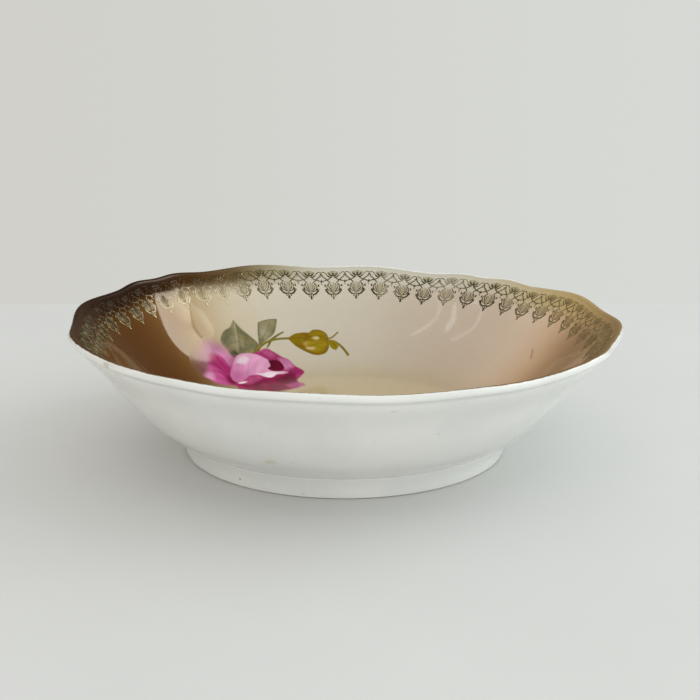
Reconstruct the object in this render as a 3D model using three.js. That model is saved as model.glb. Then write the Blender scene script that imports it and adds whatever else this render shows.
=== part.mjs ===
// A porcelain serving bowl with a wavy rolled lip, a stuck-on foot ring and fired-on decoration.
// Millimetres, +Z up. The origin is the centre of the face that the foot ring rests on; +Y is the back.

import * as THREE from "three";

// Driving dimensions of the porcelain.
const RIM_RADIUS = 125.8; // axis to the outside of the lip, midway between the waves' crests and dips
const RIM_HEIGHT = 60.9; // table to the top of the lip, midway between the waves
const LIP_RADIUS = 1.6; // roundness of the rolled edge
const LIP_UNDER = -60; // where the rolled edge starts under the lip, degrees above level
const LIP_INNER = 150; // where it runs into the inside
const WALL = 3.8; // thickness of the side
const FOOT_RADIUS = 75.2; // outside of the foot ring at the table
const FOOT_HEIGHT = 10.5; // foot ring, table to the seam with the shell
const FOOT_SPREAD = 4.0; // how much wider the foot ring is at its seam
const FOOT_LAND = 3.2; // width of the bare flat face that it rests on
const FOOT_EDGE = 1.0; // roundness of both edges of that face
const FOOT_DRAFT = 0.9; // how much the ring's inside leans out of its mould
const FOOT_BEND_OUT = 0.38; // the ring's side bends here, as a share of its spread
const FOOT_BEND_UP = 0.55; // and of its height
const BASE_DROP = 3.5; // seam down to the underside of the shell's middle
const BASE_THICKNESS = 3.8;
const WELL_RADIUS = 46; // flat part of the inside
// The side's outline, as shares of the spread and the rise from the seam to the lip.
const SIDE_SHAPE = [[0, 0], [0.28, 0.195], [0.526, 0.44], [0.73, 0.686], [0.913, 0.871], [0.956, 0.935]];
const INSIDE_SHARES = [0.2, 0.4, 0.6, 0.8]; // where the inside runs one wall inside that outline
const SEAM_STEP = 0.5; // the shell stands this much proud of the foot ring at the seam
const SEAM_CLEARANCE = 0.3; // between the foot ring's inside and the step that locates it

// The waves pressed into the side: twelve lobes, and every third one is split in two.
const LOBES = 12;
const SPLIT_EVERY = 3;
const FIRST_SPLIT = 37.5; // degrees from the back, turning towards +X
const LOBE_SWELL = 1.05; // half of a lobe's depth in radius
const SPLIT_SWELL = 0.9; // half of each split crest's depth in radius
const SPLIT_OFFSET = 6; // degrees from a split lobe's middle to each of its crests
const SPLIT_HALF = 9; // half of the width of a split crest, degrees
const WAVE_LIFT = 0.54; // rise of the lip for each millimetre of swell
const WAVE_START = 24; // the waves fade out at this height

// The soft warp that the side took in the kiln: rise of the lip and the direction of its high side.
const KILN_WARP = [
  { waves: 1, rise: 1.5, towards: -90 },
  { waves: 2, rise: 0.85, towards: -69 },
  { waves: 3, rise: 0.6, towards: 79 },
];

// The fired-on layers, each a thin skin over the one below.
const GROUND_FILM = 0.3;
const GROUND_GAP = 0.1; // clearance between the porcelain and the ground colour
const PRINT_FILM = 0.25;
const PRINT_GAP = 0.3; // clearance between the ground colour and the transfers
const LACE_STRIPS = 4;
const PENDANTS_PER_STRIP = 14;
const LACE_INSET = 2.2; // lip to the lace's top edge, along the side
const LACE_DEPTH = 16; // lace's top edge to the valleys between its pendants
const PENDANT_DROP = 3.5; // valley to the tip of a pendant
const LACE_JOIN = 0.4; // gap between neighbouring strips

// How finely the curved faces are cut.
const SEGMENTS = LACE_STRIPS * PENDANTS_PER_STRIP * 2;
const OUTER_STEPS = 6;
const LIP_STEPS = 5;
const WELL_STEPS = 7;
const SIDE_STEPS = 5;

const v2 = (r, z) => new THREE.Vector2(r, z);
const rad = THREE.MathUtils.degToRad;

// The lip's centre line and the seam.
const lipRadius = RIM_RADIUS - LIP_RADIUS;
const lipHeight = RIM_HEIGHT - LIP_RADIUS;
const seamRadius = FOOT_RADIUS + FOOT_SPREAD + SEAM_STEP;
const seatInner = FOOT_RADIUS - 2 * FOOT_EDGE - FOOT_LAND - FOOT_DRAFT;
const baseHeight = FOOT_HEIGHT - BASE_DROP;
const wellHeight = baseHeight + BASE_THICKNESS;

// Outline of the outside, from the seam up to the hollow under the lip.
function makeOuterSide() {
  return new THREE.SplineCurve(SIDE_SHAPE.map(([spread, rise]) => v2(
    THREE.MathUtils.lerp(seamRadius, lipRadius, spread),
    THREE.MathUtils.lerp(FOOT_HEIGHT, lipHeight, rise),
  )));
}

// Outline of the inside, from the axis out over the flat well and up the side to the lip.
function makeLining(outer) {
  const inset = (share) => {
    const point = outer.getPoint(share);
    const along = outer.getTangent(share);
    return v2(point.x - WALL * along.y, point.y + WALL * along.x);
  };
  const side = INSIDE_SHARES.map(inset);
  const start = side[0];
  const slope = outer.getTangent(INSIDE_SHARES[0]);
  const wellEdge = v2(WELL_RADIUS, wellHeight);
  const corner = v2(start.x - ((start.y - wellHeight) * slope.x) / slope.y, wellHeight);
  const lipStart = v2(
    lipRadius + LIP_RADIUS * Math.cos(rad(LIP_INNER)),
    lipHeight + LIP_RADIUS * Math.sin(rad(LIP_INNER)),
  );
  const lining = new THREE.CurvePath();
  lining.add(new THREE.LineCurve(v2(0, wellHeight), wellEdge));
  lining.add(new THREE.QuadraticBezierCurve(wellEdge, corner, start));
  lining.add(new THREE.SplineCurve([...side, lipStart]));
  return lining;
}

const outerSide = makeOuterSide();
const lining = makeLining(outerSide);
const liningLength = lining.getLength();

// Distances along the lining at which the inside is cut.
function liningStations() {
  const [flat, well, side] = lining.curves.map((curve) => curve.getLength());
  const stations = [0, flat];
  for (let i = 1; i <= WELL_STEPS; i += 1) stations.push(flat + (well * i) / WELL_STEPS);
  for (let i = 1; i <= SIDE_STEPS; i += 1) stations.push(flat + well + (side * i) / SIDE_STEPS);
  return stations;
}

// The point at a distance along the lining, raised off it by a height.
function overLining(distance, height) {
  const share = THREE.MathUtils.clamp(distance / liningLength, 0, 1);
  const point = lining.getPointAt(share);
  const along = lining.getTangentAt(share);
  return v2(Math.max(0, point.x - height * along.y), point.y + height * along.x);
}

// A raised cosine, 1 in the middle and 0 from the half-width outwards.
function crest(angle, half) {
  return Math.abs(angle) < half ? 0.5 * (1 + Math.cos((Math.PI * angle) / half)) : 0;
}

// How far the lip swells out at a direction, in millimetres.
function swell(degrees) {
  const pitch = 360 / LOBES;
  const fromSplit = THREE.MathUtils.euclideanModulo(degrees - FIRST_SPLIT + pitch / 2, 360);
  const lobe = Math.floor(fromSplit / pitch);
  const inLobe = fromSplit - lobe * pitch - pitch / 2;
  if (lobe % SPLIT_EVERY !== 0) return 2 * LOBE_SWELL * crest(inLobe, pitch / 2) - LOBE_SWELL;
  const crests = crest(inLobe - SPLIT_OFFSET, SPLIT_HALF) + crest(inLobe + SPLIT_OFFSET, SPLIT_HALF);
  return 2 * SPLIT_SWELL * crests - LOBE_SWELL;
}

function kilnWarp(degrees) {
  return KILN_WARP.reduce(
    (sum, bend) => sum + bend.rise * Math.cos(bend.waves * rad(degrees - bend.towards)),
    0,
  );
}

// Presses the waves and the kiln's warp into a turned shape, more and more towards the lip.
function press(geometry) {
  const at = geometry.getAttribute("position");
  for (let i = 0; i < at.count; i += 1) {
    const radius = Math.hypot(at.getX(i), at.getY(i));
    const height = at.getZ(i);
    if (radius === 0) continue;
    const degrees = THREE.MathUtils.radToDeg(Math.atan2(at.getX(i), at.getY(i)));
    const wave = swell(degrees) * THREE.MathUtils.smoothstep(height, WAVE_START, lipHeight);
    const warp = kilnWarp(degrees) * THREE.MathUtils.smoothstep(height, FOOT_HEIGHT, RIM_HEIGHT);
    const stretch = (radius + wave) / radius;
    at.setXYZ(i, at.getX(i) * stretch, at.getY(i) * stretch, height + wave * WAVE_LIFT + warp);
  }
  geometry.computeVertexNormals();
  return geometry;
}

// A solid turned round the axis from an outline of radius and height.
function turn(outline) {
  return new THREE.LatheGeometry(outline, SEGMENTS).rotateX(Math.PI / 2);
}

// A thin slab laid over the lining. place maps each point of a unit slab, -0.5 to 0.5 both ways, to
// an angle from the back in radians and a distance along the lining.
function layOver(place, columns, rows, under, over) {
  const slab = new THREE.BoxGeometry(1, 1, 1, columns, rows, 1);
  const at = slab.getAttribute("position");
  for (let i = 0; i < at.count; i += 1) {
    const [angle, distance] = place(at.getX(i), at.getY(i));
    const point = overLining(distance, at.getZ(i) > 0 ? over : under);
    at.setXYZ(i, point.x * Math.sin(angle), point.x * Math.cos(angle), point.y);
  }
  return press(slab);
}

function glaze(colour, roughness = 0.15) {
  return new THREE.MeshStandardMaterial({ color: colour, roughness, metalness: 0 });
}

const porcelainWhite = glaze(0xdfe1dd);
const footWhite = glaze(0xd8d9d4, 0.25);
const groundBrown = glaze(0x8a6a42);
const lilacPink = glaze(0xb0607c, 0.3);
const leafGreen = glaze(0x6d7450, 0.3);
const stemOlive = glaze(0x77703a, 0.3);
const budYellow = glaze(0x9c8c3f, 0.3);
const firedGold = new THREE.MeshStandardMaterial({ color: 0x9c8648, roughness: 0.35, metalness: 1 });

function named(name, geometry, material) {
  const mesh = new THREE.Mesh(geometry, material);
  mesh.name = name;
  return mesh;
}

// The pressed shell: underside, side, rolled lip and inside, in one outline from axis to axis.
function bowlBody() {
  const outline = [v2(0, baseHeight)];
  const stepRadius = seatInner - SEAM_CLEARANCE;
  outline.push(v2(stepRadius - BASE_DROP, baseHeight));
  outline.push(v2(stepRadius, FOOT_HEIGHT));
  outline.push(...outerSide.getPoints(OUTER_STEPS));
  for (let i = 0; i < LIP_STEPS; i += 1) {
    const angle = rad(THREE.MathUtils.lerp(LIP_UNDER, LIP_INNER, i / LIP_STEPS));
    outline.push(v2(lipRadius + LIP_RADIUS * Math.cos(angle), lipHeight + LIP_RADIUS * Math.sin(angle)));
  }
  outline.push(...liningStations().reverse().map((distance) => overLining(distance, 0)));
  return named("bowl_body", press(turn(outline)), porcelainWhite);
}

// The foot ring: a closed outline with a flat bare face, two rounded edges and a flat seat on top.
function footRing() {
  const outer = FOOT_RADIUS;
  const inner = FOOT_RADIUS - 2 * FOOT_EDGE - FOOT_LAND;
  const outline = [];
  for (let i = 0; i <= 2; i += 1) {
    const angle = rad(180 + 45 * i);
    outline.push(v2(
      inner + FOOT_EDGE + FOOT_EDGE * Math.cos(angle),
      FOOT_EDGE + FOOT_EDGE * Math.sin(angle),
    ));
  }
  for (let i = 0; i <= 2; i += 1) {
    const angle = rad(270 + 45 * i);
    outline.push(v2(
      outer - FOOT_EDGE + FOOT_EDGE * Math.cos(angle),
      FOOT_EDGE + FOOT_EDGE * Math.sin(angle),
    ));
  }
  outline.push(v2(outer + FOOT_BEND_OUT * FOOT_SPREAD, FOOT_BEND_UP * FOOT_HEIGHT));
  outline.push(v2(outer + FOOT_SPREAD, FOOT_HEIGHT));
  outline.push(v2(seatInner, FOOT_HEIGHT));
  outline.push(outline[0].clone());
  return named("foot_ring", turn(outline), footWhite);
}

// The sprayed ground colour, a skin over the whole inside.
function groundEnamel() {
  const stations = liningStations();
  const under = stations.map((distance) => overLining(distance, GROUND_GAP));
  const over = stations.map((distance) => overLining(distance, GROUND_GAP + GROUND_FILM));
  return named("ground_enamel", press(turn([...under, ...over.reverse()])), groundBrown);
}

const printUnder = GROUND_GAP + GROUND_FILM + PRINT_GAP;
const printOver = printUnder + PRINT_FILM;

// One strip of the lace border. Its lower edge drops to a pendant at every second column.
function laceStrip(index) {
  const columns = PENDANTS_PER_STRIP * 2;
  const top = liningLength - LACE_INSET;
  const trim = LACE_JOIN / RIM_RADIUS / 2;
  const first = (2 * Math.PI * index) / LACE_STRIPS;
  const place = (x, y) => {
    const column = Math.round((x + 0.5) * columns);
    const depth = LACE_DEPTH + (column % 2 === 1 ? PENDANT_DROP : 0);
    const angle = first + (2 * Math.PI * column) / SEGMENTS;
    const inward = column === 0 ? trim : column === columns ? -trim : 0;
    return [angle + inward, top - (0.5 - y) * depth];
  };
  return named(`lace_strip_${index + 1}`, layOver(place, columns, 2, printUnder, printOver), firedGold);
}

// The flower transfer lies on the back left of the side. Its pieces are drawn in millimetres on the
// surface: across, to the right as seen from the front, and up the side, from the middle of the rose.
const ROSE_ANGLE = -36; // degrees from the back, turning towards +X
const ROSE_UP = 80; // axis to the rose's middle, along the lining

function onSpray(across, up) {
  const distance = ROSE_UP + up;
  return [rad(ROSE_ANGLE) + across / overLining(distance, 0).x, distance];
}

// A closed slab whose middle line is a curve, with a half-width for each share of its length.
function sprayPiece(curve, halfWidth, columns, rows) {
  const place = (x, y) => {
    const share = x + 0.5;
    const point = curve.getPoint(share);
    const along = curve.getTangent(share);
    const out = 2 * y * halfWidth(share);
    return onSpray(point.x - out * along.y, point.y + out * along.x);
  };
  return layOver(place, columns, rows, printUnder, printOver);
}

function line(fromAcross, fromUp, toAcross, toUp) {
  return new THREE.LineCurve(v2(fromAcross, fromUp), v2(toAcross, toUp));
}

// Half-widths of a round petal mass, a pointed leaf and a stem.
const rounded = (half) => (share) => half * Math.sqrt(Math.max(0.02, 1 - (2 * share - 1) ** 2));
const pointed = (half) => (share) => Math.max(0.25, half * Math.sin(Math.PI * share ** 0.8));
const even = (half) => () => half;

function roseSpray() {
  const stem = new THREE.QuadraticBezierCurve(v2(18, 14), v2(23, 16.5), v2(26.5, 22));
  const tendril = new THREE.QuadraticBezierCurve(v2(48, 14.5), v2(54, 13), v2(55, 6));
  return [
    named("rose_bloom", sprayPiece(line(-18, 6, 23, -6), rounded(15.5), 12, 8), lilacPink),
    named("rose_leaf_long", sprayPiece(line(-2, 18, 1.5, 34), pointed(8.5), 8, 4), leafGreen),
    named("rose_leaf_short", sprayPiece(line(11.5, 16.5, 21, 31.5), pointed(4.6), 8, 3), leafGreen),
    named("rose_stem", sprayPiece(stem, even(0.6), 5, 1), stemOlive),
    named("rose_tendril", sprayPiece(tendril, even(0.6), 5, 1), stemOlive),
    named("rose_bud", sprayPiece(line(26, 12.5, 51, 20.5), pointed(4), 8, 3), budYellow),
    named("rose_small_bud", sprayPiece(line(45.5, 7.5, 50.5, 9.8), pointed(1.6), 5, 2), budYellow),
  ];
}

const bowl = new THREE.Group();
bowl.add(bowlBody(), footRing(), groundEnamel());
for (let i = 0; i < LACE_STRIPS; i += 1) bowl.add(laceStrip(i));
bowl.add(...roseSpray());

export default bowl;
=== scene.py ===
"""A porcelain serving bowl with a wavy rolled lip, sprayed ground colours, a gilt lace border and a
rose transfer. Metres, +Z up; the foot ring stands on z = 0 and +Y is the back."""

import math

import bpy
import numpy as np
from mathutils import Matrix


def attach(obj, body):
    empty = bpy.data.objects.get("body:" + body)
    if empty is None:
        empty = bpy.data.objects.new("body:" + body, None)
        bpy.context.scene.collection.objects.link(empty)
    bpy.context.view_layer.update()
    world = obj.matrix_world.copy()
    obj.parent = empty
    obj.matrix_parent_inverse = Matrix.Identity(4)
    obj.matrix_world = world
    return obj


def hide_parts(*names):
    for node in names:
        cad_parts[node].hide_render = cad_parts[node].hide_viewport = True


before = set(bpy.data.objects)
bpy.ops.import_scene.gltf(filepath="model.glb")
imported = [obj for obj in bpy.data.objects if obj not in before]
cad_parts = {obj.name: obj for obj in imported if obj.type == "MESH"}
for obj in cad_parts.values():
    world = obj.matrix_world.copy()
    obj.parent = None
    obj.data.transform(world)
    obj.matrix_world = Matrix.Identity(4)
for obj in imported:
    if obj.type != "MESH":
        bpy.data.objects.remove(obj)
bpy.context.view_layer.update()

MM = 0.001

# The porcelain.
RIM_RADIUS = 125.8 * MM
RIM_HEIGHT = 60.9 * MM
LIP_RADIUS = 1.6 * MM
LIP_UNDER = -60  # degrees round the rolled edge, where it starts under the lip
LIP_INNER = 150  # and where it runs into the inside
WALL = 3.8 * MM
FOOT_RADIUS = 75.2 * MM
FOOT_HEIGHT = 10.5 * MM
FOOT_SPREAD = 4.0 * MM
FOOT_LAND = 3.2 * MM
FOOT_EDGE = 1.0 * MM
FOOT_DRAFT = 0.9 * MM
BASE_DROP = 3.5 * MM
BASE_THICKNESS = 3.8 * MM
WELL_RADIUS = 46 * MM
SIDE_SHAPE = [(0, 0), (0.28, 0.195), (0.526, 0.44), (0.73, 0.686), (0.913, 0.871), (0.956, 0.935)]
INSIDE_SHARES = [0.2, 0.4, 0.6, 0.8]
SEAM_STEP = 0.5 * MM
SEAM_CLEARANCE = 0.3 * MM

# The pressed waves and the kiln's warp: how often it bends, its rise and the way it leans.
LOBE_PITCH = 30
SPLIT_EVERY = 3
FIRST_SPLIT = 37.5
LOBE_SWELL = 1.05 * MM
SPLIT_SWELL = 0.9 * MM
SPLIT_OFFSET = 6
SPLIT_HALF = 9
WAVE_LIFT = 0.54
WAVE_START = 24 * MM
KILN_WARP = [(1, 1.5 * MM, -90), (2, 0.85 * MM, -69), (3, 0.6 * MM, 79)]

# Heights of the fired-on layers over the porcelain.
GROUND_TOP = 0.14 * MM
SPRAY_UNDER = 0.12 * MM
SPRAY_EDGE = 0.02 * MM
SPRAY_TOP = {"leaf": 0.16 * MM, "stem": 0.172 * MM, "bloom": 0.184 * MM}
LACE_UNDER = 0.08 * MM
LACE_RELIEF = 0.24 * MM
STRIPS = 4
PENDANTS = 14  # in each strip
LACE_RADIUS = 118 * MM  # the border is drawn at this distance from the axis
FLAT_RADIUS = 0.1  # flat pieces are drawn with one radian as this length

# How finely the turned pieces are cut, and the small bevels of the seam.
SHELL_SEGMENTS = 672
FOOT_SEGMENTS = 448
LINING_SEGMENTS = 504
WELD = 0.002 * MM
SEAM_CHAMFER = 0.4 * MM
SEAT_CHAMFER = 0.25 * MM

LIP_CENTRE = (RIM_RADIUS - LIP_RADIUS, RIM_HEIGHT - LIP_RADIUS)
SEAM_RADIUS = FOOT_RADIUS + FOOT_SPREAD + SEAM_STEP
SEAT_INNER = FOOT_RADIUS - 2 * FOOT_EDGE - FOOT_LAND - FOOT_DRAFT
BASE_HEIGHT = FOOT_HEIGHT - BASE_DROP
WELL_HEIGHT = BASE_HEIGHT + BASE_THICKNESS


# ---------------------------------------------------------------- outlines


def spline(points, shares):
    """Points along a smooth curve through the given ones, for shares of its spans from 0 to 1."""
    knots = np.array(points, float)
    last = len(knots) - 1
    at = np.clip(np.asarray(shares, float) * last, 0, last - 1e-9)
    i = at.astype(int)
    t = (at - i)[:, None]
    before, start = knots[np.maximum(i - 1, 0)], knots[i]
    end, after = knots[np.minimum(i + 1, last)], knots[np.minimum(i + 2, last)]
    out, into = (end - before) / 2, (after - start) / 2
    cubic = (2 * start - 2 * end + out + into) * t**3
    return cubic + (3 * end - 3 * start - 2 * out - into) * t**2 + out * t + start


def lip_arc(start, end, count):
    """Points round the rolled edge between two angles in degrees."""
    angle = np.radians(np.linspace(start, end, count))
    round_it = np.stack([np.cos(angle), np.sin(angle)], 1)
    return np.array(LIP_CENTRE) + LIP_RADIUS * round_it


def side_knots():
    """The knots of the side's outline, from the seam to the hollow under the lip."""
    seam = np.array([SEAM_RADIUS, FOOT_HEIGHT])
    return [seam + (np.array(LIP_CENTRE) - seam) * np.array(share) for share in SIDE_SHAPE]


def lining_outline():
    """The inside's outline, from the axis over the flat well and up the side to the lip."""
    knots = side_knots()

    def inset(share):
        point = spline(knots, [share])[0]
        along = np.diff(spline(knots, [share - 1e-4, share + 1e-4]), axis=0)[0]
        along /= np.hypot(*along)
        return point + WALL * np.array([-along[1], along[0]]), along

    inside = [inset(share)[0] for share in INSIDE_SHARES]
    start, slope = inset(INSIDE_SHARES[0])
    edge = np.array([WELL_RADIUS, WELL_HEIGHT])
    corner = np.array([start[0] - (start[1] - WELL_HEIGHT) * slope[0] / slope[1], WELL_HEIGHT])
    t = np.linspace(0, 1, 60)[:, None]
    well = (1 - t) ** 2 * edge + 2 * t * (1 - t) * corner + t**2 * start
    side = spline(inside + [lip_arc(LIP_INNER, LIP_INNER, 1)[0]], np.linspace(0, 1, 160))
    return eased(np.vstack([[[0, WELL_HEIGHT]], well, side[1:]]))


def eased(outline, steps=240, passes=220):
    """The outline in even steps with its slight corners rounded, least of all next to the lip."""
    line = even(outline, steps)
    left = np.arange(steps - 2, 0, -1)[:, None]
    firm = np.clip(left / 24, 0.08, 1) / 4
    for _ in range(passes):
        line[1:-1] += firm * (line[:-2] - 2 * line[1:-1] + line[2:])
    return line


def distances(outline):
    return np.r_[0, np.cumsum(np.hypot(*np.diff(outline, axis=0).T))]


def even(outline, count):
    """The same outline cut into even steps."""
    run = distances(outline)
    at = np.linspace(0, run[-1], count)
    return np.stack([np.interp(at, run, outline[:, 0]), np.interp(at, run, outline[:, 1])], 1)


def raised(outline, height):
    """The outline moved off itself to its left, by one height or a height for each point."""
    along = np.gradient(outline, axis=0)
    along /= np.maximum(np.hypot(along[:, 0], along[:, 1]), 1e-12)[:, None]
    off = np.stack([-along[:, 1], along[:, 0]], 1) * np.broadcast_to(height, len(outline))[:, None]
    moved = outline + off
    moved[:, 0] = np.maximum(moved[:, 0], 0)
    return moved


LINING = lining_outline()
LINING_LENGTH = distances(LINING)[-1]


# ---------------------------------------------------------------- node building


class Tree:
    """Adds nodes to a node tree and joins them up."""

    def __init__(self, tree):
        self.tree = tree

    def add(self, kind, **settings):
        node = self.tree.nodes.new(kind)
        for name, value in settings.items():
            setattr(node, name, value)
        return node

    def put(self, node, **values):
        """Joins or sets a node's inputs, named with _ for a space, and returns the node."""
        for name, value in values.items():
            socket = next(s for s in node.inputs if s.name == name.replace("_", " ") and s.enabled)
            self.join(value, socket)
        return node

    def join(self, value, socket):
        if isinstance(value, bpy.types.NodeSocket):
            self.tree.links.new(value, socket)
        else:
            socket.default_value = value

    def math(self, operation, *values):
        node = self.add("ShaderNodeMath", operation=operation)
        for value, socket in zip(values, node.inputs):
            self.join(value, socket)
        return node.outputs[0]

    def sum(self, *values):
        total = values[0]
        for value in values[1:]:
            total = self.math("ADD", total, value)
        return total

    def less(self, value, taken):
        return self.math("SUBTRACT", value, taken)

    def times(self, *values):
        product = values[0]
        for value in values[1:]:
            product = self.math("MULTIPLY", product, value)
        return product

    def times_plus(self, value, factor, added):
        return self.math("MULTIPLY_ADD", value, factor, added)

    def over(self, value, divisor):
        return self.math("DIVIDE", value, divisor)

    def way_round(self, x, y):
        """The angle from the back of the bowl towards +X."""
        return self.math("ARCTAN2", x, y)

    def band(self, value, rise_from, rise_to, fall_from, fall_to, high=1.0):
        """Rises from 0 between the first two values and falls from high to 0 between the others."""
        rising = self.fade(value, rise_from, rise_to)
        return self.times(rising, self.fade(value, fall_from, fall_to, high, 0.0))

    def fade(self, value, start, end, low=0.0, high=1.0):
        """Runs smoothly from low to high as the value goes from start to end."""
        node = self.add("ShaderNodeMapRange", interpolation_type="SMOOTHSTEP")
        for given, socket in zip((value, start, end, low, high), node.inputs):
            self.join(given, socket)
        return node.outputs[0]

    def split(self, vector):
        node = self.add("ShaderNodeSeparateXYZ")
        self.join(vector, node.inputs[0])
        return node.outputs[0], node.outputs[1], node.outputs[2]

    def combine(self, x, y, z):
        node = self.add("ShaderNodeCombineXYZ")
        for given, socket in zip((x, y, z), node.inputs):
            self.join(given, socket)
        return node.outputs[0]

    def round_axis(self, radius, angle, height):
        """The place at a distance from the axis, an angle from the back and a height."""
        across = self.times(radius, self.math("SINE", angle))
        return self.combine(across, self.times(radius, self.math("COSINE", angle)), height)

    def position(self):
        return self.add("GeometryNodeInputPosition").outputs[0]

    def move(self, geometry, position):
        return self.put(
            self.add("GeometryNodeSetPosition"), Geometry=geometry, Position=position,
        ).outputs[0]

    def keep_along(self, geometry, value):
        """Stores how far along its outline each point is, for the materials."""
        store = self.add("GeometryNodeStoreNamedAttribute", data_type="FLOAT", domain="POINT")
        return self.put(store, Geometry=geometry, Name="along", Value=value).outputs[0]

    def stored(self, name):
        """A value that the mesh carries, in a material."""
        node = self.add("ShaderNodeAttribute", attribute_type="GEOMETRY", attribute_name=name)
        return node.outputs["Fac"]


def new_group(name, kind, result, **inputs):
    """A node tree with named inputs and one result: its builder, input sockets and end node."""
    tree = bpy.data.node_groups.new(name, kind)
    for label, socket in inputs.items():
        tree.interface.new_socket(label, in_out="INPUT", socket_type="NodeSocket" + socket)
    tree.interface.new_socket(result, in_out="OUTPUT", socket_type="NodeSocket" + result)
    build = Tree(tree)
    given = build.add("NodeGroupInput").outputs
    return build, [given[i] for i in range(len(inputs))], build.add("NodeGroupOutput")


def geometry_group(name, **inputs):
    return new_group(name, "GeometryNodeTree", "Geometry", **inputs)


def crest(build, angle, half):
    """A raised cosine: 1 in the middle and 0 from the half-width outwards."""
    within = build.math("LESS_THAN", build.math("ABSOLUTE", angle), half)
    wave = build.math("COSINE", build.times(angle, math.pi / half))
    return build.times(within, build.times_plus(wave, 0.5, 0.5))


def press_group():
    """Presses the lip's waves and the kiln's warp into whatever comes in."""
    build, (geometry,), result = geometry_group("press_waves", Geometry="Geometry")
    x, y, z = build.split(build.position())
    radius = build.math("SQRT", build.sum(build.times(x, x), build.times(y, y)))
    degrees = build.times(build.way_round(x, y), 180 / math.pi)
    turned = build.less(degrees, FIRST_SPLIT - LOBE_PITCH / 2)
    turned = build.math("FLOORED_MODULO", turned, 360.0)
    lobe = build.math("FLOOR", build.over(turned, LOBE_PITCH))
    in_lobe = build.times_plus(lobe, -LOBE_PITCH, turned)
    in_lobe = build.less(in_lobe, LOBE_PITCH / 2)
    plain = build.times(crest(build, in_lobe, LOBE_PITCH / 2), 2 * LOBE_SWELL)
    halves = [build.sum(in_lobe, side * SPLIT_OFFSET) for side in (-1, 1)]
    twins = [crest(build, half, SPLIT_HALF) for half in halves]
    twin = build.times(build.sum(*twins), 2 * SPLIT_SWELL)
    is_split = build.math("LESS_THAN", build.math("FLOORED_MODULO", lobe, SPLIT_EVERY), 0.5)
    swell = build.times_plus(build.less(twin, plain), is_split, plain)
    swell = build.less(swell, LOBE_SWELL)
    wave = build.times(swell, build.fade(z, WAVE_START, LIP_CENTRE[1]))
    bends = []
    for count, rise, towards in KILN_WARP:
        turn = build.less(degrees, float(towards))
        turn = build.times(turn, math.radians(count))
        bends.append(build.times(build.math("COSINE", turn), rise))
    warp = build.times(build.sum(*bends), build.fade(z, FOOT_HEIGHT, RIM_HEIGHT))
    stretch = build.sum(build.over(wave, radius), 1.0)
    lifted = build.sum(z, build.times(wave, WAVE_LIFT), warp)
    moved = build.combine(build.times(x, stretch), build.times(y, stretch), lifted)
    build.join(build.move(geometry, moved), result.inputs[0])
    return build.tree


def use_group(build, tree, *values):
    node = build.add("GeometryNodeGroup", node_tree=tree)
    for value, socket in zip(values, node.inputs):
        build.join(value, socket)
    return node.outputs[0]


def finish_tree(build, geometry, material, result):
    """Every tree's end: smooth faces, real geometry and one material."""
    smooth = build.add("GeometryNodeSetShadeSmooth")
    build.join(geometry, smooth.inputs[0])
    real = build.add("GeometryNodeRealizeInstances")
    build.join(smooth.outputs[0], real.inputs[0])
    dress = build.add("GeometryNodeSetMaterial")
    build.put(dress, Geometry=real.outputs[0], Material=material)
    build.join(dress.outputs[0], result.inputs[0])


def turning_tree(press):
    """Turns an outline, drawn as points at (radius, 0, height), round the axis and presses it."""
    build, (outline, segments, rows, material), result = geometry_group(
        "turn_and_press", Outline="Geometry", Segments="Int", Rows="Int", Material="Material",
    )
    grid = build.put(
        build.add("GeometryNodeMeshGrid"), Size_X=1.0, Size_Y=1.0,
        Vertices_X=build.sum(segments, 1.0), Vertices_Y=rows,
    )
    x, y, _ = build.split(build.position())
    last = build.less(rows, 1.0)
    row = build.math("ROUND", build.times(build.sum(y, 0.5), last))
    where = build.put(
        build.add("GeometryNodeSampleIndex", data_type="FLOAT_VECTOR"),
        Geometry=outline, Value=build.position(), Index=row,
    )
    drawn = build.add("GeometryNodeInputNamedAttribute", data_type="FLOAT")
    build.put(drawn, Name="along")
    along = build.put(
        build.add("GeometryNodeSampleIndex", data_type="FLOAT"),
        Geometry=outline, Value=drawn.outputs[0], Index=row,
    )
    radius, _, height = build.split(where.outputs[0])
    angle = build.times(build.sum(x, 0.5), 2 * math.pi)
    kept = build.keep_along(grid.outputs[0], along.outputs[0])
    turned = build.move(kept, build.round_axis(radius, angle, height))
    closed = build.put(build.add("GeometryNodeMergeByDistance"), Geometry=turned, Distance=WELD)
    finish_tree(build, use_group(build, press, closed.outputs[0]), material, result)
    return build.tree


def laying_group():
    """Lays a flat piece over the inside: x is the way round, y the way up and z the height."""
    build, (geometry, lining), result = geometry_group(
        "lay_over_lining", Geometry="Geometry", Lining="Object",
    )
    x, y, z = build.split(build.position())
    info = build.put(build.add("GeometryNodeObjectInfo"), Object=lining)
    curve = build.put(build.add("GeometryNodeMeshToCurve"), Mesh=info.outputs["Geometry"])
    sample = build.put(
        build.add("GeometryNodeSampleCurve", mode="LENGTH", use_all_curves=True),
        Curves=curve.outputs[0], Length=y,
    )
    radius, _, height = build.split(sample.outputs["Position"])
    out, _, up = build.split(sample.outputs["Tangent"])
    radius = build.less(radius, build.times(up, z))
    height = build.sum(height, build.times(out, z))
    place = build.round_axis(radius, build.over(x, FLAT_RADIUS), height)
    build.join(build.move(build.keep_along(geometry, y), place), result.inputs[0])
    return build.tree


def draping_tree(laying, press):
    """Drapes one flat piece over the side."""
    build, (flat, lining, material), result = geometry_group(
        "drape_and_press", Flat="Geometry", Lining="Object", Material="Material",
    )
    laid = use_group(build, laying, flat, lining)
    finish_tree(build, use_group(build, press, laid), material, result)
    return build.tree


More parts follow.
